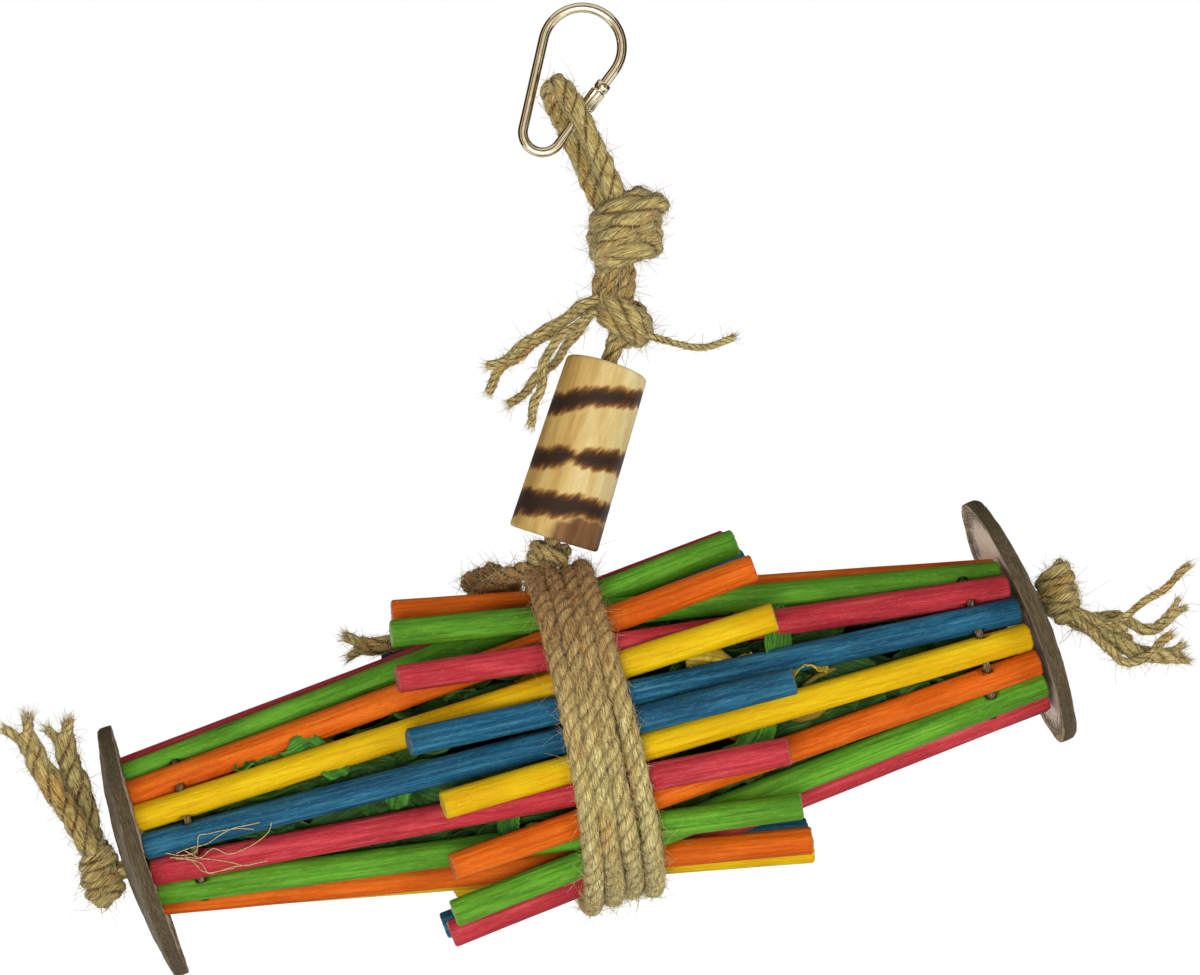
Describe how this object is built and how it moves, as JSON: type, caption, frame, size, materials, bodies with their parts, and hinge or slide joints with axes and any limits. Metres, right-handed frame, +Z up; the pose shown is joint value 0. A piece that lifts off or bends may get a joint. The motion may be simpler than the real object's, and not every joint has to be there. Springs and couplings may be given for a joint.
{
  "type": "bird chew toy",
  "caption": "Hanging cage toy: a barrel of dyed dowels between shell discs, bound with jute, below a scorched wood block on a knotted jute hanger with a quick link.",
  "frame": {"origin": "inside of the quick link's big bow at its top, where a hook or cage bar carries the toy", "axes": "+Z up along the hanging line, +X to the right as seen from the front, -Y to the front"},
  "size_m": [0.3321, 0.1048, 0.2744],
  "materials": {
    "nickel": "polished nickel plate",
    "jute": "rough twisted natural fibre",
    "pine": "bare pale wood with scorched bands",
    "shell": "rough fibrous coconut shell",
    "husk_green": "dry ribbed leaf, dyed green",
    "husk_yellow": "dry ribbed leaf, dyed yellow",
    "dye_blue": "soft wood stained with food dye",
    "dye_yellow": "soft wood stained with food dye",
    "dye_orange": "soft wood stained with food dye",
    "dye_green": "soft wood stained with food dye",
    "dye_red": "soft wood stained with food dye"
  },
  "bodies": {
    "link": {"link_wire": "nickel"},
    "sleeve": {"link_sleeve": "nickel"},
    "hanger_top": {"hanger_loop": "jute", "upper_knot": "jute"},
    "hanger_low": {"neck_cord": "jute", "lower_knot": "jute", "tassel_strand_1": "jute", "tassel_strand_2": "jute", "tassel_strand_3": "jute", "tassel_strand_4": "jute", "stray_strand": "jute", "core_cord": "jute"},
    "block": {"wood_block": "pine"},
    "barrel": {"dowel_left_01": "dye_blue", "dowel_left_02": "dye_yellow", "dowel_left_03": "dye_orange", "dowel_left_04": "dye_green", "dowel_left_05": "dye_red", "dowel_left_06": "dye_blue", "dowel_left_07": "dye_yellow", "dowel_left_08": "dye_orange", "dowel_left_09": "dye_green", "dowel_left_10": "dye_red", "dowel_left_11": "dye_blue", "dowel_left_12": "dye_yellow", "dowel_left_13": "dye_orange", "dowel_left_14": "dye_green", "dowel_left_15": "dye_red", "dowel_right_01": "dye_blue", "dowel_right_02": "dye_red", "dowel_right_03": "dye_green", "dowel_right_04": "dye_orange", "dowel_right_05": "dye_yellow", "dowel_right_06": "dye_blue", "dowel_right_07": "dye_red", "dowel_right_08": "dye_green", "dowel_right_09": "dye_orange", "dowel_right_10": "dye_yellow", "dowel_right_11": "dye_blue", "dowel_right_12": "dye_red", "dowel_right_13": "dye_green", "dowel_right_14": "dye_orange", "dowel_right_15": "dye_yellow", "ring_cord_left": "jute", "ring_cord_right": "jute", "axle_cord": "jute", "wrap_cord": "jute", "wrap_knot": "jute", "wrap_tail": "jute", "tail_knot_left": "jute", "tail_knot_right": "jute", "left_tail_1": "jute", "left_tail_2": "jute", "right_tail_1": "jute", "right_tail_2": "jute", "right_tail_3": "jute", "husk_strip_green": "husk_green", "husk_strip_yellow": "husk_yellow"},
    "left_disc": {"disc_left": "shell"},
    "right_disc": {"disc_right": "shell"}
  },
  "joints": [
    {"name": "sleeve_slide", "type": "slide", "parent": "link", "child": "sleeve", "axis": [0.6026, 0, 0.7981], "range_m": [0, 0.006]},
    {"name": "loop_swing", "type": "hinge", "parent": "link", "child": "hanger_top", "pos_m": [-0.00221, 0, -0.03131], "axis": [0.6026, 0, 0.7981], "range_deg": [-30, 30]},
    {"name": "neck_twist", "type": "hinge", "parent": "hanger_top", "child": "hanger_low", "pos_m": [0.012, 0, -0.0764], "axis": [0, 0, 1], "range_deg": [-90, 90]},
    {"name": "block_spin", "type": "hinge", "parent": "hanger_low", "child": "block", "pos_m": [-0.00031, 0, -0.12366], "axis": [0.2974, 0, 0.9548], "continuous": true},
    {"name": "barrel_tilt", "type": "hinge", "parent": "hanger_low", "child": "barrel", "pos_m": [0.0012, 0, -0.1542], "axis": [-0.0698, 0.9976, 0], "range_deg": [-2, 20]},
    {"name": "left_disc_spin", "type": "hinge", "parent": "barrel", "child": "left_disc", "pos_m": [-0.12543, -0.00879, -0.23717], "axis": [-0.9509, -0.0665, -0.3024], "continuous": true},
    {"name": "right_disc_spin", "type": "hinge", "parent": "barrel", "child": "right_disc", "pos_m": [0.12584, 0.00878, -0.17113], "axis": [0.9243, 0.0646, 0.3762], "continuous": true}
  ]
}
